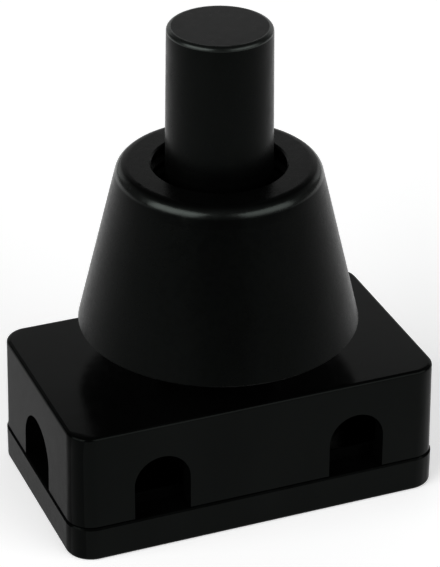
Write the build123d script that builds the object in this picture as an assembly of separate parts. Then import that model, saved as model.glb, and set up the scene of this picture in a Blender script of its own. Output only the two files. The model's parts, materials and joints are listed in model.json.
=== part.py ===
from build123d import *
from math import atan, cos, degrees, pi, radians, sin
import os

# Latching push switch for a lamp, in millimetres.
# +Z is up, X runs along the housing, and the origin is the middle of the cover's underside.
# A box-shaped housing carries a threaded neck, which guides a round push button. Each press drives a
# ratchet rotor down and a part turn on, and the rotor swings a bridge on to or off two contacts.

# ---- Housing and cover
housing_length = 29.4       # at the seam, where the walls are farthest apart
housing_width = 17.4
draft_inset = 0.12          # how far each wall leans in towards the top
corner_radius = 1.9
side_wall = 1.4
top_wall = 1.5
seam_z = 2.78               # the cover ends and the housing starts here
housing_top_z = 10.5
top_edge_radius = 0.3
seam_chamfer = 0.12
cover_overhang = 0.1        # how far the cover stands out all round
cover_floor = 1.4
cover_edge_radius = 0.3
lip_height = 0.9
lip_thickness = 0.8
lip_clearance = 0.1

# ---- Wire entries
front_entry_width = 4.4
front_entry_inset = 6.9     # from the end of the housing to the middle of the entry
front_entry_apex_z = 7.8
end_entry_width = 5.5
end_entry_apex_z = 7.45

# ---- Threaded neck and the nut on it
neck_radius = 4.95          # crest of the M10 x 1 thread, which is left plain here
neck_height = 12.1
neck_chamfer = 0.4
thread_clearance = 0.05
nut_height = 12.95
nut_base_radius = 10.6
nut_top_radius = 7.5
nut_top_fillet = 1.0
nut_edge_break = 0.12
nut_lift = 3.0              # the nut is left this far above the housing
nut_skirt = 1.5
nut_hub_wall = 1.3
nut_core_depth = 10.3
nut_rib_count = 8
nut_rib_thickness = 0.8
nut_rib_setback = 0.8

# ---- Push button
press_travel = 3.0
button_radius = 4.0
button_tip_radius = 3.87
button_taper_z = 26.0       # the button narrows from here to its tip
button_top_z = 37.25
button_edge_radius = 0.35
button_end_wall = 1.6
running_clearance = 0.05
stop_clearance = 0.1
finger_radius = 3.4
finger_bore_radius = 2.5
finger_slot_width = 0.6
finger_slot_rise = 7.0
finger_end_z = 11.4
key_height = 3.0
guide_ring_height = 3.0

# ---- Ratchet
catch_count = 4
catch_half_angle = 20.0
catch_end_z = 9.8
catch_rise = 0.6
catch_clearance = 0.1       # between the fingers or the rotor and the catches round them
key_side_angle = 1.0        # play of a key on each side of its groove
crown_teeth = 8
crown_depth = 0.7
crown_gap = 0.15
rotor_stem_clearance = 0.1
rotor_stem_top_z = 17.0
rotor_stem_chamfer = 0.3
rotor_end_cap = 0.8
rotor_bore_radius = 1.95
rotor_bottom_z = 4.8
rotor_lug_half_angle = 11.0
rotor_lug_height = 1.25
rotor_lug_lag_angle = 3.0   # play behind a lug at rest
spigot_radius = 2.8
spigot_flat = 2.4
staked_rim = 0.3

# ---- Contacts
bridge_bottom_z = 5.4
bridge_thickness = 0.4
bridge_width = 2.6
bridge_hub_radius = 4.0
contact_circle_radius = 5.2
bridge_end_margin = 1.0
bridge_fit = 0.05
tip_radius = 0.9
tip_height = 0.35
tip_shank_radius = 0.5
tip_foot_height = 0.15
contact_gap = 0.1
strip_thickness = 0.8
strip_arm_width = 2.0
strip_pad = 5.2
strip_end_gap = 1.1         # between the pad and the end wall
strip_wall_gap = 0.05       # between the bent tab and the rear wall
strip_tab_width = 4.0
strip_tab_drop = 2.2
strip_bend_radius = 0.8
rivet_fit = 0.02

# ---- Terminals
screw_radius = 1.45
screw_hole_radius = 1.5
screw_head_radius = 2.4
screw_head_height = 1.8
screw_slot_width = 0.6
screw_slot_depth = 0.9
screw_end_chamfer = 0.3
screw_tip_rise = 1.1
screw_slot_angle = 35.0
clamp_plate_side = 5.0
clamp_plate_thickness = 0.6
clamp_plate_lip = 0.4
wire_gap = 0.6
pocket_clearance = 0.25

# ---- Inner walls and snap hooks
well_radius = 6.5
well_wall = 0.7
well_half_angle = 46.0
well_foot_z = 4.2
boss_margin = 0.3
strip_side_clearance = 0.1
hook_x = 4.4
hook_width = 1.8
hook_thickness = 1.0
hook_top_z = 6.2
hook_barb = 0.35
hook_barb_height = 0.8
hook_clearance = 0.1

# ---- Return spring
spring_radius = 1.5
spring_wire_radius = 0.22
spring_turns = 9
spring_boss_radius = 1.15
spring_boss_height = 2.0

# ---- How far joined shapes run into each other, and cutters past a surface
overlap = 0.2
overcut = 1.0

# ---- Heights and radii that follow from the sizes above
ceiling_z = housing_top_z - top_wall
neck_top_z = housing_top_z + neck_height
bore_radius = button_radius + running_clearance
catch_radius = finger_radius + catch_clearance
key_top_z = finger_end_z + key_height
guide_ring_z = key_top_z + stop_clearance
guide_ring_top_z = guide_ring_z + guide_ring_height
button_shoulder_z = guide_ring_top_z + press_travel + stop_clearance
groove_half_angle = 180 / catch_count - catch_half_angle
rotor_top_z = finger_end_z - crown_gap
bridge_top_z = bridge_bottom_z + bridge_thickness
strip_bottom_z = bridge_top_z + 2 * tip_height + contact_gap
strip_top_z = strip_bottom_z + strip_thickness
nut_bottom_z = housing_top_z + nut_lift
nut_bore_radius = neck_radius + thread_clearance
inner_half_length = housing_length / 2 - side_wall
inner_half_width = housing_width / 2 - side_wall
front_entry_x = housing_length / 2 - front_entry_inset
terminal_x = inner_half_length - strip_end_gap - strip_pad / 2
terminal_y = inner_half_width - strip_wall_gap - strip_thickness - strip_pad / 2
clamp_top_z = strip_bottom_z - wire_gap
screw_head_top_z = clamp_top_z - clamp_plate_thickness


def degrees_of_taper(inset, height):
    """Taper angle that draws a face in by inset over a height."""
    return degrees(atan(inset / height))


def block(length, width, radius, low, high, inset=0.0):
    """Upright block with rounded corners, whose walls lean in by inset towards the top."""
    outline = RectangleRounded(length, width, radius)
    return Pos(0, 0, low) * extrude(outline, high - low, taper=degrees_of_taper(inset, high - low))


def rod(radius, low, high):
    """Upright cylinder."""
    return Pos(0, 0, low) * extrude(Circle(radius), high - low)


def tube(outer, inner, low, high):
    """Upright tube."""
    return Pos(0, 0, low) * extrude(Circle(outer) - Circle(inner), high - low)


def bar(x_low, x_high, y_low, y_high, low, high):
    """Box between six faces."""
    middle = Pos((x_low + x_high) / 2, (y_low + y_high) / 2, (low + high) / 2)
    return middle * Box(x_high - x_low, y_high - y_low, high - low)


def tube_sector(outer, inner, angle, half_angle, low, high):
    """Part of a tube, half_angle degrees to each side of the given angle."""
    reach = 2 * outer / cos(radians(half_angle))
    steps = [radians(a) for a in (angle - half_angle, angle, angle + half_angle)]
    rim = [(reach * cos(a), reach * sin(a)) for a in steps]
    slice_face = make_face(Polyline((0, 0), *rim, (0, 0)))
    return Pos(0, 0, low) * extrude((Circle(outer) - Circle(inner)) & slice_face, high - low)


def around(piece, count, start=0.0):
    """Copies of a piece, evenly spaced round Z."""
    return [Rot(0, 0, start + 360 / count * i) * piece for i in range(count)]


def on_both_ends(piece):
    """A piece and its mirror image at the other end of the housing."""
    return [piece, mirror(piece, about=Plane.YZ)]


def entry_cutter(width, apex_z, depth):
    """Round-topped wire entry that stands on the seam and runs along Y."""
    radius = width / 2
    spring_z = apex_z - radius
    leg = bar(-radius, radius, -depth / 2, depth / 2, seam_z - overcut, spring_z)
    crown = Pos(0, 0, spring_z) * Rot(90, 0, 0) * Cylinder(radius, depth)
    return leg + crown


def entry_cutters(margin=0.0):
    """All four wire entries: two in the front wall and one in each end wall."""
    front = entry_cutter(front_entry_width + 2 * margin, front_entry_apex_z + margin, 3 * side_wall)
    end = entry_cutter(end_entry_width + 2 * margin, end_entry_apex_z + margin, 3 * side_wall)
    cutters = [Pos(x, -housing_width / 2, 0) * front for x in (-front_entry_x, front_entry_x)]
    cutters += [Pos(x, 0, 0) * Rot(0, 0, 90) * end for x in (-housing_length / 2, housing_length / 2)]
    return cutters


def saw_crown(outer, inner, tip_z, direction, angle):
    """Cutters that leave saw teeth on a tube's end, with tips at tip_z and roots towards direction."""
    pitch = 2 * pi * outer / crown_teeth
    profile = Polyline((0, 0), (pitch, 0), (pitch, direction * crown_depth), (0, 0))
    tooth = extrude(Plane.XZ * make_face(profile), -(outer - inner + 2 * overlap))
    placed = Rot(0, 0, -90) * Pos(0, inner - overlap, 0) * tooth
    return [Pos(0, 0, tip_z) * c for c in around(placed, crown_teeth, angle)]


def hook_shape(side, slack=0.0):
    """Barb of a snap hook on one long side, or with slack, the notch that it snaps into."""
    face_y = inner_half_width - hook_clearance
    root_y = face_y - overlap - slack
    tip_y = face_y + hook_barb + slack
    foot_z = hook_top_z - hook_barb_height - slack
    barb = make_face(Polyline(
        (root_y, hook_top_z + slack), (face_y, hook_top_z + slack),
        (tip_y, hook_top_z - hook_barb_height / 2), (tip_y, foot_z),
        (root_y, foot_z), (root_y, hook_top_z + slack)))
    half = hook_width / 2 + slack
    solid = Pos(-half, 0, 0) * extrude(Plane.YZ * barb, 2 * half)
    return solid if side > 0 else mirror(solid, about=Plane.XZ)


def strip_outline():
    """Plan of the right-hand contact strip: a round-ended arm that widens to the screw's pad."""
    arm_length = terminal_x - contact_circle_radius
    arm = Pos(contact_circle_radius + arm_length / 2, 0) * Rectangle(arm_length, strip_arm_width)
    nose = Pos(contact_circle_radius, 0) * Circle(strip_arm_width / 2)
    web = Pos(terminal_x - strip_arm_width / 2, terminal_y / 2) * Rectangle(strip_arm_width, terminal_y)
    pad = Pos(terminal_x, terminal_y) * Rectangle(strip_pad, strip_pad)
    return arm + nose + web + pad


def neck_ratchet():
    """Guide ring and slanted catches inside the neck's foot, which steer the fingers and the rotor."""
    outer = bore_radius + overlap
    ring = tube(outer, catch_radius, guide_ring_z, guide_ring_top_z)
    rib = tube_sector(outer, catch_radius, 0, catch_half_angle, catch_end_z, guide_ring_z)
    half_chord = outer * sin(radians(catch_half_angle)) + catch_clearance
    ramp = make_face(Polyline(
        (-half_chord, catch_end_z), (half_chord, catch_end_z),
        (half_chord, catch_end_z + catch_rise), (-half_chord, catch_end_z)))
    rib -= extrude(Plane.YZ * ramp, 2 * outer)
    return [ring] + around(rib, catch_count)


def make_housing():
    """Box with an open underside, the threaded neck, wire entries and seats for the contacts."""
    shell = block(housing_length, housing_width, corner_radius, seam_z, housing_top_z, draft_inset)
    shell = fillet(shell.faces().sort_by(Axis.Z)[-1].edges(), top_edge_radius)
    shell = chamfer(shell.faces().sort_by(Axis.Z)[0].edges(), seam_chamfer)
    shell -= block(housing_length - 2 * side_wall, housing_width - 2 * side_wall,
                   corner_radius - side_wall, seam_z - overcut, ceiling_z)
    neck = rod(neck_radius, ceiling_z, neck_top_z)
    neck = chamfer(neck.faces().sort_by(Axis.Z)[-1].edges(), neck_chamfer)
    shell += neck

    boss_side = strip_pad + 2 * boss_margin
    boss = bar(terminal_x - boss_side / 2, terminal_x + boss_side / 2,
               terminal_y - boss_side / 2, inner_half_width, strip_top_z, ceiling_z)
    well = tube_sector(well_radius + well_wall, well_radius, 0, well_half_angle, well_foot_z, ceiling_z)
    slot_half = strip_arm_width / 2 + strip_side_clearance
    well -= bar(0, housing_length, -slot_half, slot_half, 0, strip_top_z)
    well -= bar(terminal_x - strip_pad / 2 - strip_side_clearance, housing_length,
                0, housing_width, 0, strip_top_z)
    seat = bar(well_radius, terminal_x, -slot_half, slot_half, strip_top_z, ceiling_z)
    for piece in (boss, well, seat):
        shell += on_both_ends(piece)

    pocket = Pos(terminal_x, terminal_y, 0) * rod(
        screw_radius + pocket_clearance, strip_top_z - overcut, ceiling_z + pocket_clearance)
    shell -= on_both_ends(pocket)
    shell -= rod(bore_radius, seam_z, neck_top_z + overcut)
    shell += neck_ratchet()
    shell -= entry_cutters()
    for x in (-hook_x, hook_x):
        shell -= [Pos(x, 0, 0) * hook_shape(side, hook_clearance) for side in (-1, 1)]
    return shell


def make_cover():
    """Shallow tray that closes the underside, with a locating lip, snap hooks and a spring seat."""
    length = housing_length + 2 * cover_overhang
    width = housing_width + 2 * cover_overhang
    tray = block(length, width, corner_radius + cover_overhang, 0, seam_z)
    tray = fillet(tray.faces().sort_by(Axis.Z)[0].edges(), cover_edge_radius)
    tray = chamfer(tray.faces().sort_by(Axis.Z)[-1].edges(), seam_chamfer)
    lip_length = housing_length - 2 * (side_wall + lip_clearance)
    lip_width = housing_width - 2 * (side_wall + lip_clearance)
    lip_corner = corner_radius - side_wall
    tray -= block(lip_length - 2 * lip_thickness, lip_width - 2 * lip_thickness,
                  lip_corner, cover_floor, seam_z + overcut)

    lip = block(lip_length, lip_width, lip_corner, seam_z, seam_z + lip_height)
    lip -= block(lip_length - 2 * lip_thickness, lip_width - 2 * lip_thickness,
                 lip_corner, seam_z - overcut, housing_top_z)
    gap = hook_x + hook_width / 2 + hook_clearance
    lip -= bar(-gap, gap, -housing_width, housing_width, 0, housing_top_z)
    lip -= entry_cutters(lip_clearance)
    tray += lip

    face_y = inner_half_width - hook_clearance
    for x in (-hook_x, hook_x):
        for side in (-1, 1):
            inner, outer = sorted((side * (face_y - hook_thickness), side * face_y))
            tray += bar(x - hook_width / 2, x + hook_width / 2, inner, outer, cover_floor, hook_top_z)
            tray += Pos(x, 0, 0) * hook_shape(side)
    tray += rod(spring_boss_radius, cover_floor / 2, cover_floor + spring_boss_height)
    return tray


def make_nut():
    """Cone-shaped nut: an outer skirt and a bored hub in one moulding, cored out from below."""
    body = Pos(0, 0, nut_height / 2) * Cone(nut_base_radius, nut_top_radius, nut_height)
    body = fillet(body.faces().sort_by(Axis.Z)[-1].edges(), nut_top_fillet)
    body = chamfer(body.faces().sort_by(Axis.Z)[0].edges(), nut_edge_break)
    slope = (nut_base_radius - nut_top_radius) / nut_height
    hub_radius = nut_bore_radius + nut_hub_wall
    core_low = nut_base_radius - nut_skirt
    core_high = core_low - slope * nut_core_depth
    core = make_face(Polyline(
        (hub_radius, -overcut), (core_low + slope * overcut, -overcut), (core_high, nut_core_depth),
        (hub_radius, nut_core_depth), (hub_radius, -overcut)))
    core = revolve(Plane.XZ * core, Axis.Z)
    rib = bar(hub_radius - overlap, nut_base_radius, -nut_rib_thickness / 2, nut_rib_thickness / 2,
              nut_rib_setback, nut_core_depth + overcut)
    core -= around(rib, nut_rib_count, 180 / nut_rib_count)
    body -= core
    body -= rod(nut_bore_radius, -overcut, nut_height + overcut)
    rim = body.edges().filter_by(GeomType.CIRCLE).filter_by(
        lambda e: abs(e.radius - nut_bore_radius) < 0.001)
    body = chamfer(rim, nut_edge_break)
    return Pos(0, 0, nut_bottom_z) * body


def make_button():
    """Hollow round button whose lower end is split into four snap fingers with keys and saw teeth."""
    head = rod(button_radius, button_shoulder_z, button_taper_z)
    tip = Pos(0, 0, button_taper_z) * extrude(
        Circle(button_radius), button_top_z - button_taper_z,
        taper=degrees_of_taper(button_radius - button_tip_radius, button_top_z - button_taper_z))
    body = head + tip
    body = fillet(body.faces().sort_by(Axis.Z)[-1].edges(), button_edge_radius)
    body += rod(finger_radius, finger_end_z, button_shoulder_z)
    key_half = groove_half_angle - key_side_angle
    key = tube_sector(button_radius, finger_radius - overlap, 0, key_half, finger_end_z, key_top_z)
    body += around(key, catch_count, 180 / catch_count)
    body -= rod(finger_bore_radius, 0, button_top_z - button_end_wall)
    slot = bar(0, button_radius + overcut, -finger_slot_width / 2, finger_slot_width / 2,
               finger_end_z - overcut, finger_end_z + finger_slot_rise)
    body -= around(slot, catch_count)
    body -= saw_crown(button_radius, finger_bore_radius, finger_end_z, 1, 180 / catch_count)
    return body


def make_rotor():
    """Ratchet rotor: lugs and saw teeth outside, a bore for the spring, and a spigot for the bridge."""
    body = rod(finger_radius, bridge_top_z, rotor_top_z)
    stem = rod(finger_bore_radius - rotor_stem_clearance, rotor_top_z - crown_depth, rotor_stem_top_z)
    stem = chamfer(stem.faces().sort_by(Axis.Z)[-1].edges(), rotor_stem_chamfer)
    rest_angle = 180 / catch_count - groove_half_angle + rotor_lug_lag_angle + rotor_lug_half_angle
    lug = tube_sector(button_radius, finger_radius - overlap, 0, rotor_lug_half_angle,
                      rotor_top_z - rotor_lug_height, rotor_top_z)
    body += around(lug, catch_count, rest_angle)
    body -= saw_crown(button_radius, finger_bore_radius - rotor_stem_clearance, rotor_top_z, -1, rest_angle)
    body += stem
    spigot = extrude(spigot_outline(), bridge_thickness + overlap)
    body += Pos(0, 0, bridge_bottom_z - overlap) * spigot
    body += rod(spigot_radius + staked_rim, rotor_bottom_z, bridge_bottom_z - bridge_fit)
    body -= rod(rotor_bore_radius, 0, rotor_stem_top_z - rotor_end_cap)
    return body


def spigot_outline(slack=0.0):
    """Round outline with two flats, which keys the bridge to the rotor."""
    return Circle(spigot_radius + slack) & Rectangle(2 * (spigot_flat + slack), 4 * spigot_radius)


def make_bridge():
    """Springy contact bridge: a round hub with an arm to each side, lying along Y when it is off."""
    length = 2 * (contact_circle_radius + bridge_end_margin)
    outline = SlotOverall(length, bridge_width, rotation=90) + Circle(bridge_hub_radius)
    outline -= spigot_outline(bridge_fit)
    for y in (-contact_circle_radius, contact_circle_radius):
        outline -= Pos(0, y) * Circle(tip_shank_radius + rivet_fit)
    return Pos(0, 0, bridge_bottom_z) * extrude(outline, bridge_thickness)


def contact_rivet(shank, foot):
    """Contact rivet with its face up: a flat button, a shank through the metal, and a foot behind."""
    face = fillet(rod(tip_radius, 0, tip_height).faces().sort_by(Axis.Z)[-1].edges(), tip_height / 2)
    rivet = face + rod(tip_shank_radius, -shank, 0)
    if foot > 0:
        rivet += rod(tip_shank_radius + foot, -shank - foot, -shank)
    return rivet


def make_bridge_tip(side):
    """Rivet on one arm of the bridge."""
    rivet = contact_rivet(bridge_thickness, tip_foot_height)
    return Pos(0, side * contact_circle_radius, bridge_top_z) * rivet


def make_strip():
    """Right-hand contact strip with a bent tab behind the screw, which stops the wire."""
    plate = Pos(0, 0, strip_bottom_z) * extrude(strip_outline(), strip_thickness)
    tab_y = terminal_y + strip_pad / 2
    half = strip_tab_width / 2
    tab = bar(terminal_x - half, terminal_x + half, tab_y, tab_y + strip_thickness,
              strip_bottom_z - strip_tab_drop, strip_top_z)
    tab += bar(terminal_x - half, terminal_x + half, terminal_y, tab_y, strip_bottom_z, strip_top_z)
    bend = tab.edges().filter_by(Axis.X).sort_by(Axis.Z)[-2:].sort_by(Axis.Y)[-1]
    strip = plate + fillet(bend, strip_bend_radius)
    strip -= Pos(terminal_x, terminal_y, 0) * rod(screw_hole_radius, 0, housing_top_z)
    strip -= Pos(contact_circle_radius, 0, 0) * rod(tip_shank_radius + rivet_fit, 0, housing_top_z)
    return strip


def make_fixed_contact():
    """Rivet under the inner end of the right-hand strip, with its face down."""
    rivet = Rot(180, 0, 0) * contact_rivet(strip_thickness, 0)
    return Pos(contact_circle_radius, 0, strip_bottom_z) * rivet


def make_clamp_plate():
    """Square plate that presses the wire up against the strip, with a lip turned down past the head."""
    half = clamp_plate_side / 2
    low = screw_head_top_z
    plate = bar(-half, half, -half - clamp_plate_thickness, half, low, clamp_top_z)
    plate += bar(-half, half, -half - clamp_plate_thickness, -half, low - clamp_plate_lip, clamp_top_z)
    plate -= rod(screw_hole_radius, 0, housing_top_z)
    return Pos(terminal_x, terminal_y, 0) * plate


def make_screw():
    """Slotted terminal screw, driven from below, with its thread left plain."""
    low = screw_head_top_z - screw_head_height
    head = rod(screw_head_radius, low, screw_head_top_z)
    head = fillet(head.faces().sort_by(Axis.Z)[0].edges(), screw_end_chamfer)
    head -= bar(-screw_head_radius, screw_head_radius, -screw_slot_width / 2, screw_slot_width / 2,
                low - overcut, low + screw_slot_depth)
    shank = rod(screw_radius, screw_head_top_z, strip_top_z + screw_tip_rise)
    shank = chamfer(shank.faces().sort_by(Axis.Z)[-1].edges(), screw_end_chamfer)
    return Pos(terminal_x, terminal_y, 0) * Rot(0, 0, screw_slot_angle) * (head + shank)


def make_spring():
    """Return spring, from the cover's seat to the blind end of the rotor's bore."""
    low = cover_floor + spring_wire_radius
    high = rotor_stem_top_z - rotor_end_cap - spring_wire_radius
    path = Helix((high - low) / spring_turns, high - low, spring_radius)
    start = Plane(path @ 0, z_dir=path % 0)
    return Pos(0, 0, low) * sweep(start * Circle(spring_wire_radius), path, is_frenet=True)


def build_parts():
    """Every sub-part by its name."""
    parts = {
        "housing": make_housing(),
        "bottom_cover": make_cover(),
        "cone_nut": make_nut(),
        "push_button": make_button(),
        "ratchet_rotor": make_rotor(),
        "contact_bridge": make_bridge(),
        "bridge_tip_front": make_bridge_tip(-1),
        "bridge_tip_rear": make_bridge_tip(1),
        "return_spring": make_spring(),
    }
    for name, maker in (("contact_strip", make_strip), ("fixed_contact", make_fixed_contact),
                        ("clamp_plate", make_clamp_plate), ("terminal_screw", make_screw)):
        right, left = on_both_ends(maker())
        parts[name + "_right"] = right
        parts[name + "_left"] = left
    return parts


os.makedirs("parts", exist_ok=True)
for name, solid in build_parts().items():
    export_step(solid, f"parts/{name}.step")
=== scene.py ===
import json
from math import cos, hypot, pi, radians, sin

import bmesh
import bpy
from mathutils import Euler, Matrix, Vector

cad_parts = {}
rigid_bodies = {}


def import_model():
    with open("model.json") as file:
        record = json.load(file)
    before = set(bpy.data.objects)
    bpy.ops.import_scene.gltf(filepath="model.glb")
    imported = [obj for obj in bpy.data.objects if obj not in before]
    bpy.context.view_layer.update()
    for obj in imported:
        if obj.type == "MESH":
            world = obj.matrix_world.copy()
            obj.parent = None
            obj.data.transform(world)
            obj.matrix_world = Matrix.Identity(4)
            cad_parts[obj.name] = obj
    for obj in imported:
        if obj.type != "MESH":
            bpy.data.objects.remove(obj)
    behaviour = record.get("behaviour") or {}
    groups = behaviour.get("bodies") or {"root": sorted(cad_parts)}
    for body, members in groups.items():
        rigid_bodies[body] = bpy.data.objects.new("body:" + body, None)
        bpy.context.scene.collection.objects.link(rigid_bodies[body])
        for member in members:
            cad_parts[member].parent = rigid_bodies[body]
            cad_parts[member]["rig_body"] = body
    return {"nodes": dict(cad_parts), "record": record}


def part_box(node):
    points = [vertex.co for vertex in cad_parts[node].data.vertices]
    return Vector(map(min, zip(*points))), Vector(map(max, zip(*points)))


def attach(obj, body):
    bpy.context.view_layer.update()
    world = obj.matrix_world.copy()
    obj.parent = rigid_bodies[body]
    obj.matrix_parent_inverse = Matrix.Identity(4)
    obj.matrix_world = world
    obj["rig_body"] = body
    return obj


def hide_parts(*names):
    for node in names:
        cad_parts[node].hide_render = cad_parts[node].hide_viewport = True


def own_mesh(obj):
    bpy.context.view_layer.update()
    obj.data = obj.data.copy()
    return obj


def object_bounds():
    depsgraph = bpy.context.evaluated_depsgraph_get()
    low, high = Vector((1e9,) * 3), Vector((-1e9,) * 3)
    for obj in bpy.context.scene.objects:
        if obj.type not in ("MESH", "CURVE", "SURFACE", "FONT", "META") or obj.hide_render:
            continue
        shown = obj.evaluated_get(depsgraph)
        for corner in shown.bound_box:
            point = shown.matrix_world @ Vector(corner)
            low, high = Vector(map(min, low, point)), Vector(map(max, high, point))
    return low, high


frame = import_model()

cad_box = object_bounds()

# A latching push switch for a lamp. Meshes are worked on in millimetres and scaled back once, at the end.
MM = 0.001

record = frame["record"]
SLOT_OF = {part["node"]: part["material_slot"] for part in record["subparts"]}
TONE = {m["slot"]: tuple(m["base_color"]) for m in record["materials"]}


# ---- Sizes in millimetres -----------------------------------------------------------------

neck_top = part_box("housing")[1].z / MM
housing_top = 10.5
end_wall_reach = 12.5        # the end walls and corners lie farther than this from the axis

neck_crest, neck_root, neck_pitch = 4.95, 4.36, 1.0
neck_chamfer = 0.4
neck_run_out = 0.6           # length over which the thread fades at each end
neck_margin = 0.1

nut_bottom, nut_top = (corner.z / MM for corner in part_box("cone_nut"))
nut_bore, nut_groove = 5.0, 5.4
nut_edge = 0.12              # the bevel at both ends of the nut's bore
nut_run_out = 0.8
nut_fillet = 1.0
nut_rim = 7.5                # where the top would meet the cone if it had no fillet
nut_rim_depth = 1.5 * nut_fillet

button_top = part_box("push_button")[1].z / MM
button_rim, button_edge = 3.87, 0.35    # the tip's radius and the rounding of its edge

screw_crest, screw_root, screw_pitch = 1.45, 1.15, 0.5
screw_chamfer = 0.3
screw_head = 1.8
screw_run_out = 0.3

stamping_edge = 0.06
floor_gap = 0.01             # keeps the floor clear of the cover's underside

loose_gap = 0.0005           # vertices nearer than this are one
on_surface = 0.01            # vertices nearer than this to a surface lie on it
plane_gap = 0.00001          # vertices nearer than this to a cut are on it


# ---- Values of the finishes ---------------------------------------------------------------

# Roughness at the glossiest and at the dullest spots of the black plastic.
HOUSING_GLOSS = (0.16, 0.24)
END_WALL_GLOSS = (0.18, 0.26)
NUT_GLOSS = (0.24, 0.32)
NUT_RIM_GLOSS = (0.2, 0.28)
BUTTON_GLOSS = (0.26, 0.34)

# Specular level of the black plastic.
HOUSING_SHINE = 0.05
CORNER_SHINE = 0.03
END_WALL_SHINE = 0.0125
NECK_SHINE = 0.5
NUT_SHINE = 0.037
NUT_RIM_SHINE = 0.3
BUTTON_SHINE = 0.045
BUTTON_EDGE_SHINE = 0.34
GREEN_CAST = (0.88, 1.0, 0.93, 1.0)

# Share of the plastic's own tone in its flow lines, from dark to light, and in grains of dust.
FLOW_TONES = (0.2, 0.5)
DUST_TONE = 3.0
DUST_COVER = 0.5
DUST_START, DUST_END = 0.74, 0.8

# Radius, height, half width and soft border of the nut's polished ring, in millimetres.
NUT_RING = (nut_rim + 0.04, nut_top - 0.4, 0.14, 0.34)


# ---- Node helpers -------------------------------------------------------------------------

def add_node(tree, kind, settings=None, **sockets):
    """A new node with its settings and the values of, or links to, its input sockets.

    A socket is given by its name, with _ for a space, or by i and its number.
    """
    node = tree.nodes.new(kind)
    for key, value in (settings or {}).items():
        setattr(node, key, value)
    for key, value in sockets.items():
        numbered = key[0] == "i" and key[1:].isdigit()
        socket = node.inputs[int(key[1:]) if numbered else key.replace("_", " ")]
        if isinstance(value, bpy.types.NodeSocket):
            tree.links.new(value, socket)
        else:
            socket.default_value = value
    return node


def computed(tree, operation, first, second):
    """One number from two others."""
    return add_node(tree, "ShaderNodeMath", {"operation": operation}, i0=first, i1=second).outputs[0]


def new_tree(name):
    """An empty material and its node tree."""
    material = bpy.data.materials.new(name)
    material.use_nodes = True
    material.node_tree.nodes.clear()
    return material, material.node_tree


def place(tree, stretch=(1.0, 1.0, 1.0), turn=0.0):
    """The piece's own coordinates, stretched and turned about Z."""
    source = add_node(tree, "ShaderNodeTexCoord")
    return add_node(tree, "ShaderNodeMapping", Vector=source.outputs["Object"],
                    Rotation=(0.0, 0.0, turn), Scale=stretch).outputs["Vector"]


def near_ring(tree, ring, inside, outside):
    """One value on a ring round the axis and another away from it.

    The ring has a radius, a height, a half width and the width of its soft border, all in millimetres.
    """
    radius, height, half_width, border = (length * MM for length in ring)
    out = add_node(tree, "ShaderNodeVectorMath", {"operation": "LENGTH"}, i0=place(tree, (1.0, 1.0, 0.0)))
    up = add_node(tree, "ShaderNodeSeparateXYZ", Vector=place(tree))
    spot = add_node(tree, "ShaderNodeCombineXYZ", X=out.outputs["Value"], Y=up.outputs["Z"]).outputs[0]
    gap = add_node(tree, "ShaderNodeVectorMath", {"operation": "DISTANCE"},
                   i0=spot, i1=(radius, height, 0.0)).outputs["Value"]
    return spread(tree, gap, inside, outside, half_width, half_width + border)


def noise(tree, where, size, detail, contrast=0.5):
    """Cloudy noise whose features are about size millimetres across."""
    return add_node(tree, "ShaderNodeTexNoise", Vector=where, Scale=1 / (size * MM),
                    Detail=detail, Roughness=contrast).outputs["Fac"]


def spread(tree, value, low, high, start=0.3, end=0.7):
    """Maps a value between start and end, the middle of a noise, to the range from low to high."""
    return add_node(tree, "ShaderNodeMapRange", Value=value, From_Min=start, From_Max=end,
                    To_Min=low, To_Max=high).outputs["Result"]


def mixed(tree, share, first, second):
    """Colour between two others."""
    node = add_node(tree, "ShaderNodeMix", {"data_type": "RGBA"}, Factor=share)
    for socket, value in ((node.inputs[6], first), (node.inputs[7], second)):
        if isinstance(value, bpy.types.NodeSocket):
            tree.links.new(value, socket)
        else:
            socket.default_value = (*value[:3], 1.0)
    return node.outputs[2]


def bumped(tree, height, depth, strength, under=None):
    """Bump of a depth in millimetres, over another bump."""
    node = add_node(tree, "ShaderNodeBump", Height=height, Distance=depth * MM, Strength=strength)
    if under:
        tree.links.new(under, node.inputs["Normal"])
    return node.outputs["Normal"]


def shaded(tree, **sockets):
    """Ends a material in a Principled shader with these sockets."""
    shader = add_node(tree, "ShaderNodeBsdfPrincipled", **sockets)
    add_node(tree, "ShaderNodeOutputMaterial", Surface=shader.outputs["BSDF"])


def scaled(tone, factor):
    """A colour made lighter or darker."""
    return tuple(min(1.0, c * factor) for c in tone)


# ---- Finishes -----------------------------------------------------------------------------

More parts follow.
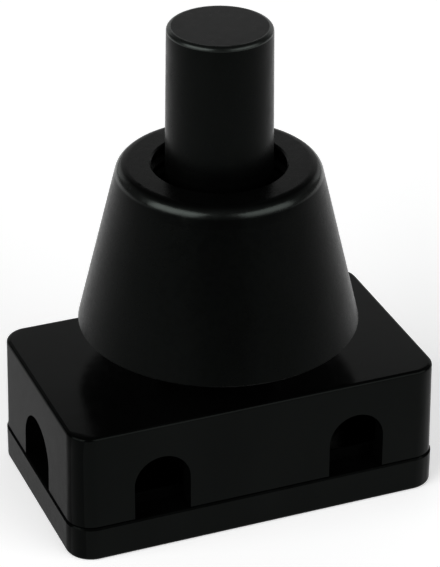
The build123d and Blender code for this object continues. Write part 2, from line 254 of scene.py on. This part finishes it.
def moulded_plastic(name, slot, gloss, shine, ring=None):
    """Moulded black plastic with faint flow lines and a few grains of dust.

    If a ring is given, the shine is kept to it.
    """
    material, tree = new_tree(name)
    tone = TONE[slot]
    flow = noise(tree, place(tree, (1.0, 1.0, 0.35)), size=5.0, detail=4.0)
    cloud = noise(tree, place(tree), size=0.6, detail=5.0, contrast=0.6)
    fine = noise(tree, place(tree), size=0.09, detail=2.0)
    wave = noise(tree, place(tree), size=9.0, detail=1.0)
    dust = noise(tree, place(tree), size=0.035, detail=1.0)
    dark, light = (scaled(tone, share) for share in FLOW_TONES)
    colour = mixed(tree, spread(tree, flow, 0.0, 1.0), dark, light)
    dusty = spread(tree, dust, 0.0, DUST_COVER, DUST_START, DUST_END)
    colour = mixed(tree, dusty, colour, scaled(tone, DUST_TONE))
    normal = bumped(tree, wave, depth=0.05, strength=0.25)
    normal = bumped(tree, cloud, depth=0.012, strength=0.3, under=normal)
    normal = bumped(tree, fine, depth=0.004, strength=0.6, under=normal)
    if ring:
        shine = near_ring(tree, ring, shine, NUT_SHINE)
    shaded(tree, Base_Color=colour, Roughness=spread(tree, cloud, *gloss), Normal=normal,
           Specular_IOR_Level=shine, Specular_Tint=GREEN_CAST)
    return material


def natural_nylon(name, slot):
    """Milky moulded nylon with a slight glow and faint flow lines."""
    material, tree = new_tree(name)
    dark, light = (scaled(TONE[slot], share) for share in (0.88, 1.06))
    flow = noise(tree, place(tree, (1.0, 1.0, 0.3)), size=2.0, detail=4.0)
    fine = noise(tree, place(tree), size=0.1, detail=3.0)
    shaded(tree, Base_Color=mixed(tree, spread(tree, flow, 0.0, 1.0), dark, light),
           Roughness=spread(tree, fine, 0.38, 0.52), Normal=bumped(tree, fine, depth=0.01, strength=0.5),
           Subsurface_Weight=0.15, Subsurface_Scale=0.6 * MM)
    return material


def rolled_metal(name, slot, gloss, lines, darker):
    """Bright metal with rolling or drawing lines and cloudy tarnish."""
    material, tree = new_tree(name)
    tone = TONE[slot]
    streak = noise(tree, place(tree, lines), size=0.6, detail=5.0, contrast=0.65)
    tarnish = noise(tree, place(tree), size=1.6, detail=5.0, contrast=0.6)
    pits = noise(tree, place(tree), size=0.07, detail=2.0)
    colour = mixed(tree, spread(tree, tarnish, 0.0, 1.0), tone, scaled(tone, darker))
    rough = computed(tree, "ADD", spread(tree, streak, *gloss), spread(tree, tarnish, 0.0, 0.12))
    normal = bumped(tree, streak, depth=0.006, strength=0.5)
    normal = bumped(tree, pits, depth=0.003, strength=0.4, under=normal)
    shaded(tree, Base_Color=colour, Roughness=rough, Normal=normal, Metallic=1.0)
    return material


FINISH = {
    "housing_plastic": moulded_plastic("black_plastic_housing", "housing_plastic",
                                       HOUSING_GLOSS, HOUSING_SHINE),
    "nut_plastic": moulded_plastic("black_plastic_nut", "nut_plastic",
                                   NUT_GLOSS, NUT_SHINE),
    "button_plastic": moulded_plastic("black_plastic_button", "button_plastic",
                                      BUTTON_GLOSS, BUTTON_SHINE),
    "rotor_plastic": natural_nylon("natural_nylon", "rotor_plastic"),
    "contact_metal": rolled_metal("rolled_brass", "contact_metal", gloss=(0.2, 0.38),
                                  lines=(1.0, 14.0, 14.0), darker=0.72),
    "contact_face": rolled_metal("silver_face", "contact_face", gloss=(0.18, 0.34),
                                 lines=(5.0, 5.0, 5.0), darker=0.8),
    "plated_steel": rolled_metal("zinc_plated_steel", "plated_steel", gloss=(0.24, 0.4),
                                 lines=(3.0, 3.0, 3.0), darker=0.8),
    "spring_steel": rolled_metal("drawn_spring_wire", "spring_steel", gloss=(0.2, 0.32),
                                 lines=(2.0, 2.0, 9.0), darker=0.75),
}

polished_neck = moulded_plastic("polished_plastic_neck", "housing_plastic",
                                HOUSING_GLOSS, NECK_SHINE)
dull_corner = moulded_plastic("dull_plastic_corner", "housing_plastic",
                              HOUSING_GLOSS, CORNER_SHINE)
dull_end_wall = moulded_plastic("dull_plastic_end_wall", "housing_plastic",
                                END_WALL_GLOSS, END_WALL_SHINE)
polished_nut_rim = moulded_plastic("polished_plastic_nut_rim", "nut_plastic",
                                   NUT_RIM_GLOSS, NUT_RIM_SHINE, NUT_RING)
polished_button_edge = moulded_plastic("polished_plastic_button_edge", "button_plastic",
                                       BUTTON_GLOSS, BUTTON_EDGE_SHINE)


# ---- Mesh helpers -------------------------------------------------------------------------

def cad_mesh(node):
    """A CAD node's own shape in millimetres, with its loose triangles joined."""
    bm = bmesh.new()
    bm.from_mesh(frame["nodes"][node].data)
    bmesh.ops.scale(bm, vec=(1 / MM,) * 3, verts=bm.verts)
    bmesh.ops.remove_doubles(bm, verts=bm.verts, dist=loose_gap)
    return bm


def softened(bm, width, flat=1.0, sharp=40.0):
    """Rounds the sharp edges of a flat stamping a little; flat and sharp are angles in degrees."""
    bmesh.ops.dissolve_limit(bm, angle_limit=radians(flat), verts=bm.verts, edges=bm.edges)
    edges = [e for e in bm.edges if e.calc_face_angle(0.0) > radians(sharp)]
    bmesh.ops.bevel(bm, geom=edges, offset=width, offset_type="OFFSET", segments=2, profile=0.5,
                    affect="EDGES", material=-1, clamp_overlap=True)
    return bm


def cut_across(bm, height, outward=1, drop=False):
    """Cuts a mesh at a height, and drops what lies outward of the cut if asked to."""
    bmesh.ops.bisect_plane(bm, geom=[*bm.verts, *bm.edges, *bm.faces], dist=plane_gap,
                           plane_co=(0, 0, height), plane_no=(0, 0, outward), clear_outer=drop)


def face_reach(face):
    """Distance of a face's middle from the axis."""
    middle = face.calc_center_median()
    return hypot(middle.x, middle.y)


def face_height(face):
    """Height of a face's middle."""
    return face.calc_center_median().z


def finished_piece(bm, name, node, second_finish=(), crease=35.0):
    """Turns a mesh in millimetres into a piece that stands for a CAD node.

    Each second finish is a material and the test for the faces that it covers. Edges sharper than the
    crease, in degrees, stay sharp.
    """
    for index, (_, covers) in enumerate(second_finish, 1):
        for face in bm.faces:
            if covers(face):
                face.material_index = index
    bmesh.ops.scale(bm, vec=(MM,) * 3, verts=bm.verts)
    for face in bm.faces:
        face.smooth = True
    for edge in bm.edges:
        edge.smooth = edge.calc_face_angle(0.0) < radians(crease)
    mesh = bpy.data.meshes.new(name)
    bm.to_mesh(mesh)
    bm.free()
    piece = bpy.data.objects.new(name, mesh)
    bpy.context.scene.collection.objects.link(piece)
    mesh.materials.append(FINISH[SLOT_OF[node]])
    for material, _ in second_finish:
        mesh.materials.append(material)
    even = piece.modifiers.new("even_normals", "WEIGHTED_NORMAL")
    even.keep_sharp = True
    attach(piece, frame["nodes"][node]["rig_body"])
    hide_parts(node)
    return piece


# Share of the pitch and share of the depth from crest to root, for one rounded turn.
THREAD_FORM = ((0.0, 0.0), (0.06, 0.06), (0.12, 0.2), (0.33, 0.86), (0.4, 0.97), (0.5, 1.0),
               (0.6, 0.97), (0.67, 0.86), (0.88, 0.2), (0.94, 0.06))
SPARE_TURNS = 2              # turns made past each end, and cut off again
MERGE_SHARE = 0.005          # share of the pitch within which the vertices of neighbouring turns are one


def cut_thread(bm, centre, crest, root, pitch, low, high, run_out, steps=96, collar=0.12):
    """Swaps the plain cylinder of a mesh between two heights for a thread that runs out at both ends.

    The thread starts a collar's width inside the two heights, and the collars join it to the rest.
    """
    def on_cylinder(vert):
        radius = hypot(vert.co.x - centre[0], vert.co.y - centre[1])
        return abs(radius - crest) < on_surface and low - on_surface < vert.co.z < high + on_surface

    plain = [face for face in bm.faces if all(on_cylinder(vert) for vert in face.verts)]
    bmesh.ops.delete(bm, geom=plain, context="FACES")

    skin = bmesh.new()
    turns = range(-SPARE_TURNS, int((high - low) / pitch) + SPARE_TURNS)
    line = [skin.verts.new((crest + share * (root - crest), 0.0, low + (turn + rise) * pitch))
            for turn in turns for rise, share in THREAD_FORM]
    edges = [skin.edges.new(pair) for pair in zip(line, line[1:])]
    bmesh.ops.spin(skin, geom=line + edges, axis=(0, 0, 1), cent=(0, 0, 0), dvec=(0, 0, pitch / steps),
                   angle=2 * pi, steps=steps, use_merge=False, use_duplicate=False)
    bmesh.ops.remove_doubles(skin, verts=skin.verts, dist=MERGE_SHARE * pitch)
    first, last = low + collar, high - collar
    cut_across(skin, first, outward=-1, drop=True)
    cut_across(skin, last, outward=1, drop=True)
    for vert in skin.verts:
        radius = hypot(vert.co.x, vert.co.y)
        ease = max(0.0, min(1.0, min(vert.co.z - first, last - vert.co.z) / run_out))
        share = ease ** 2 * (3 - 2 * ease)
        wanted = crest + (radius - crest) * share
        vert.co.x *= wanted / radius
        vert.co.y *= wanted / radius
    bmesh.ops.translate(skin, vec=Vector((*centre, 0.0)), verts=skin.verts)
    loose = bpy.data.meshes.new("thread_skin")
    skin.to_mesh(loose)
    skin.free()
    bm.from_mesh(loose)
    bpy.data.meshes.remove(loose)

    for end in (low, high):
        rims = [e for e in bm.edges if e.is_boundary
                and all(abs(vert.co.z - end) < collar + 2 * on_surface for vert in e.verts)]
        bmesh.ops.bridge_loops(bm, edges=rims)
    bmesh.ops.recalc_face_normals(bm, faces=bm.faces)


# ---- Pieces -------------------------------------------------------------------------------

FACES_END = 0.9              # a face whose normal has more than this along X looks towards an end
TURNS_CORNER = 0.5           # and one with more than this turns round a corner


def on_end_wall(face):
    """Whether a face of the housing or its cover looks towards an end."""
    return abs(face.normal.x) > FACES_END and face_reach(face) > end_wall_reach


def on_corner(face):
    """Whether a face of the housing or its cover turns round a corner."""
    return TURNS_CORNER < abs(face.normal.x) <= FACES_END and face_reach(face) > end_wall_reach


def on_neck(face):
    """Whether a face of the housing belongs to the threaded neck."""
    return face_reach(face) < neck_crest + neck_margin and face_height(face) > housing_top


def on_nut_rim(face):
    """Whether a face of the nut belongs to its rounded upper edge."""
    return face_reach(face) > nut_rim - nut_fillet and face_height(face) > nut_top - nut_rim_depth


def on_button_edge(face):
    """Whether a face of the button belongs to its rounded upper edge."""
    return face_reach(face) > button_rim - button_edge and face_height(face) > button_top - button_edge


housing = cad_mesh("housing")
cut_thread(housing, (0.0, 0.0), neck_crest, neck_root, neck_pitch,
           housing_top, neck_top - neck_chamfer, neck_run_out)
finished_piece(housing, "housing_with_thread", "housing",
               ((polished_neck, on_neck), (dull_end_wall, on_end_wall), (dull_corner, on_corner)))

finished_piece(cad_mesh("bottom_cover"), "bottom_cover_moulded", "bottom_cover",
               ((dull_end_wall, on_end_wall), (dull_corner, on_corner)))

nut = cad_mesh("cone_nut")
cut_thread(nut, (0.0, 0.0), nut_bore, nut_groove, neck_pitch,
           nut_bottom + nut_edge, nut_top - nut_edge, nut_run_out)
cut_across(nut, nut_top - nut_rim_depth)
finished_piece(nut, "cone_nut_with_thread", "cone_nut", ((polished_nut_rim, on_nut_rim),))

finished_piece(cad_mesh("push_button"), "push_button_moulded", "push_button",
               ((polished_button_edge, on_button_edge),))

for side in ("right", "left"):
    low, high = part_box("terminal_screw_" + side)
    middle = ((low.x + high.x) / 2 / MM, (low.y + high.y) / 2 / MM)
    screw = cad_mesh("terminal_screw_" + side)
    cut_thread(screw, middle, screw_crest, screw_root, screw_pitch,
               low.z / MM + screw_head, high.z / MM - screw_chamfer, screw_run_out, steps=48, collar=0.06)
    finished_piece(screw, "screw_with_thread_" + side, "terminal_screw_" + side)

for node in ("contact_strip_right", "contact_strip_left", "clamp_plate_right", "clamp_plate_left",
             "contact_bridge"):
    finished_piece(softened(cad_mesh(node), stamping_edge), node + "_stamping", node)

spring = finished_piece(cad_mesh("return_spring"), "return_spring_coil", "return_spring")
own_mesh(spring)

for node, piece in frame["nodes"].items():
    if not piece.hide_render:
        piece.data.materials.clear()
        piece.data.materials.append(FINISH[SLOT_OF[node]])


# ---- Stage, with lengths in metres and angles in degrees ----------------------------------

CAMERA_PLACE = (-0.064755, -0.159931, 0.113016)
CAMERA_TURN = (60.7039, -0.3409, -21.8904)
CAMERA_LENS, CAMERA_SENSOR, CAMERA_NEAR = 167.36, 36.0, 0.01
CAMERA_AZIMUTH = -21.9

FLOOR_HALF_SIDE = 30.0
# The floor's colour fades from pale to a dim tone away from the object: painted shade standing in for
# light falling off towards the unlit end of the room.
PALE, PAINTED_SHADE_TONE = (0.93, 0.93, 0.93), (0.14, 0.14, 0.14)
FLOOR_LIFT = 0.43            # how much whiter the pale part looks than its light alone makes it
DIM_BEHIND = (0.13, 0.24)    # where the painted shade darkens the floor behind the object, seen from the camera
DIM_AROUND = (0.4, 0.9)      # and where it does so on the other sides

ROOM_LIGHT = 0.12
WHITE = (1, 1, 1, 1)


def floor_material():
    """Pale floor, white round the object, whose colour is darkened farther off by painted shade that
    stands in for the unlit end of the room.
    """
    material, tree = new_tree("pale_floor")
    spot = place(tree, turn=radians(90 - CAMERA_AZIMUTH))
    ahead = add_node(tree, "ShaderNodeSeparateXYZ", Vector=spot).outputs["X"]
    away = add_node(tree, "ShaderNodeVectorMath", {"operation": "LENGTH"}, i0=spot).outputs["Value"]
    # Painted shade: how far the floor's colour has faded towards the dim tone.
    painted_shade = computed(tree, "MAXIMUM", spread(tree, ahead, 0.0, 1.0, *DIM_BEHIND),
                    spread(tree, away, 0.0, 1.0, *DIM_AROUND))
    path = add_node(tree, "ShaderNodeLightPath").outputs
    seen = computed(tree, "MAXIMUM", path["Is Camera Ray"], path["Is Glossy Ray"])
    seen = computed(tree, "MAXIMUM", seen, path["Is Transmission Ray"])
    lift = computed(tree, "MULTIPLY", seen, spread(tree, painted_shade, FLOOR_LIFT, 0.0, 0.0, 1.0))
    matte = add_node(tree, "ShaderNodeBsdfDiffuse", Color=mixed(tree, painted_shade, PALE, PAINTED_SHADE_TONE))
    glow = add_node(tree, "ShaderNodeEmission", Color=WHITE, Strength=lift)
    both = add_node(tree, "ShaderNodeAddShader", i0=matte.outputs[0], i1=glow.outputs[0])
    add_node(tree, "ShaderNodeOutputMaterial", Surface=both.outputs[0])
    return material


def make_floor():
    """Large flat floor under the object."""
    bm = bmesh.new()
    bmesh.ops.create_grid(bm, x_segments=8, y_segments=8, size=FLOOR_HALF_SIDE)
    mesh = bpy.data.meshes.new("studio_floor")
    bm.to_mesh(mesh)
    bm.free()
    floor = bpy.data.objects.new("studio_floor", mesh)
    floor.location.z = cad_box[0].z - floor_gap * MM
    bpy.context.scene.collection.objects.link(floor)
    mesh.materials.append(floor_material())


def soft_box(name, azimuth, elevation, width, height, radiance, distance=1.2):
    """Rectangular soft light aimed at the object, at an azimuth from the front and an elevation."""
    lamp = bpy.data.lights.new(name, "AREA")
    lamp.shape = "RECTANGLE"
    lamp.size, lamp.size_y = width, height
    lamp.energy = radiance * pi * width * height
    light = bpy.data.objects.new(name, lamp)
    a, e = radians(azimuth), radians(elevation)
    away = Vector((sin(a) * cos(e), -cos(a) * cos(e), sin(e)))
    light.location = (cad_box[0] + cad_box[1]) / 2 + distance * away
    light.rotation_euler = away.to_track_quat("Z", "Y").to_euler()
    bpy.context.scene.collection.objects.link(light)


def make_world():
    """Dim grey room round the object."""
    world = bpy.data.worlds.new("grey_room")
    bpy.context.scene.world = world
    world.use_nodes = True
    background = world.node_tree.nodes["Background"].inputs
    background["Color"].default_value = WHITE
    background["Strength"].default_value = ROOM_LIGHT


def make_camera():
    """Camera in front of the object, a little to the left and above."""
    data = bpy.data.cameras.new("camera")
    data.lens, data.sensor_width, data.clip_start = CAMERA_LENS, CAMERA_SENSOR, CAMERA_NEAR
    camera = bpy.data.objects.new("camera", data)
    camera.location = CAMERA_PLACE
    camera.rotation_euler = Euler([radians(turn) for turn in CAMERA_TURN])
    bpy.context.scene.collection.objects.link(camera)
    bpy.context.scene.camera = camera


make_floor()
soft_box("soft_box_left", CAMERA_AZIMUTH - 50, elevation=26,
         width=1.25, height=0.88, radiance=3.7)
soft_box("soft_box_right", CAMERA_AZIMUTH + 54, elevation=24,
         width=1.25, height=0.8, radiance=2.5)
soft_box("back_card", CAMERA_AZIMUTH + 180, elevation=18,
         width=1.2, height=0.3, radiance=0.78, distance=0.6)
make_world()
make_camera()
bpy.context.scene.view_settings.view_transform = "Standard"

bpy.context.view_layer.update()
